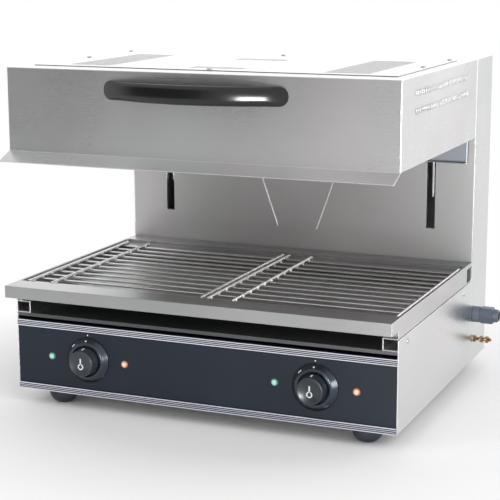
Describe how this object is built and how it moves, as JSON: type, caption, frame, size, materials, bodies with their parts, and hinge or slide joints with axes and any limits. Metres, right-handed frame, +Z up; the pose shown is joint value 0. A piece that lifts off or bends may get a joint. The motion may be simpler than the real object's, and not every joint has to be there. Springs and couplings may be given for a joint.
{
  "type": "cheese melter",
  "caption": "Countertop electric grill whose heated hood slides up and down a rear column, over a pull-out tray with wire racks and a base with heat controls.",
  "frame": {"origin": "on the surface that the machine stands on, under the middle of its whole box, with the handle, the screws and the cable gland", "axes": "+X to the right as seen from the front, +Y to the back, +Z up; the controls and the handle face -Y"},
  "size_m": [0.643, 0.5312, 0.5152],
  "materials": {
    "casing_steel": "brushed stainless sheet with a horizontal grain",
    "reflector_steel": "heat-tinted stainless sheet",
    "panel_paint": "satin slate-black paint",
    "trim_aluminium": "bright fluted extrusion",
    "screw_steel": "plain steel",
    "foot_rubber": "matt moulded rubber",
    "bezel_finish": "moulded black plastic with a bright edge",
    "knob_plastic": "moulded black plastic",
    "machined_steel": "machined and plated",
    "spring_steel": "drawn wire",
    "control_body": "moulded",
    "lens_green": "clear faceted plastic",
    "lens_amber": "clear faceted plastic",
    "ceramic": "unglazed ceramic",
    "rack_chrome": "bright chromed wire",
    "gland_plastic": "satin moulded nylon",
    "brass": "turned brass",
    "wool": "pressed mineral wool board",
    "element_sheath": "oxidised metal sheath",
    "handle_plastic": "polished black heat-proof plastic"
  },
  "bodies": {
    "chassis": {"floor_pan": "casing_steel", "side_panel_left": "casing_steel", "side_panel_right": "casing_steel", "deck": "casing_steel", "rail_left": "casing_steel", "rail_right": "casing_steel", "column_side_left": "casing_steel", "column_side_right": "casing_steel", "back_panel": "casing_steel", "column_cap": "casing_steel", "rear_cover": "casing_steel", "column_shelf": "casing_steel", "control_panel": "panel_paint", "trim_lower": "trim_aluminium", "trim_upper": "trim_aluminium", "rail_screws": "screw_steel", "rear_screws": "screw_steel", "feet": "foot_rubber", "knob_bezels": "bezel_finish", "guide_rods": "machined_steel", "rod_collars": "machined_steel", "spring_anchors": "machined_steel", "counter_spring_left": "spring_steel", "counter_spring_right": "spring_steel", "thermostats": "control_body", "lamp_bodies": "control_body", "lamp_lenses_green": "lens_green", "lamp_lenses_amber": "lens_amber", "terminal_block": "ceramic", "cable_gland": "gland_plastic", "gland_locknut": "gland_plastic", "bonding_stud": "brass", "bonding_nuts": "brass"},
    "hood": {"hood_shell": "casing_steel", "top_cover": "casing_steel", "cover_screws": "screw_steel", "hood_rear_plate": "casing_steel", "reflector": "reflector_steel", "insulation": "wool", "heating_element_left": "element_sheath", "heating_element_right": "element_sheath", "element_supports": "element_sheath", "element_insulators": "ceramic", "handle": "handle_plastic", "handle_screws": "screw_steel", "lift_arm_left": "machined_steel", "lift_arm_right": "machined_steel", "carriage_left": "machined_steel", "carriage_right": "machined_steel", "carriage_bushes": "brass", "carriage_tie": "machined_steel"},
    "left_knob": {"knob_left": "knob_plastic", "shaft_left": "machined_steel"},
    "right_knob": {"knob_right": "knob_plastic", "shaft_right": "machined_steel"},
    "tray": {"grill_tray": "casing_steel"},
    "left_rack": {"rack_left": "rack_chrome"},
    "right_rack": {"rack_right": "rack_chrome"}
  },
  "joints": [
    {"name": "hood_lift", "type": "slide", "parent": "chassis", "child": "hood", "axis": [0, 0, 1], "range_m": [-0.12, 0], "deforming": ["counter_spring_left", "counter_spring_right"]},
    {"name": "left_knob_turn", "type": "hinge", "parent": "chassis", "child": "left_knob", "pos_m": [-0.2005, -0.2226, 0.081], "axis": [0, 1, 0], "range_deg": [0, 270]},
    {"name": "right_knob_turn", "type": "hinge", "parent": "chassis", "child": "right_knob", "pos_m": [0.1595, -0.2226, 0.081], "axis": [0, 1, 0], "range_deg": [0, 270]},
    {"name": "tray_pull", "type": "slide", "parent": "chassis", "child": "tray", "axis": [0, -1, 0], "range_m": [0, 0.25]},
    {"name": "left_rack_lift", "type": "slide", "parent": "tray", "child": "left_rack", "axis": [0, 0, 1], "range_m": [0, 0.05]},
    {"name": "right_rack_lift", "type": "slide", "parent": "tray", "child": "right_rack", "axis": [0, 0, 1], "range_m": [0, 0.05]}
  ]
}
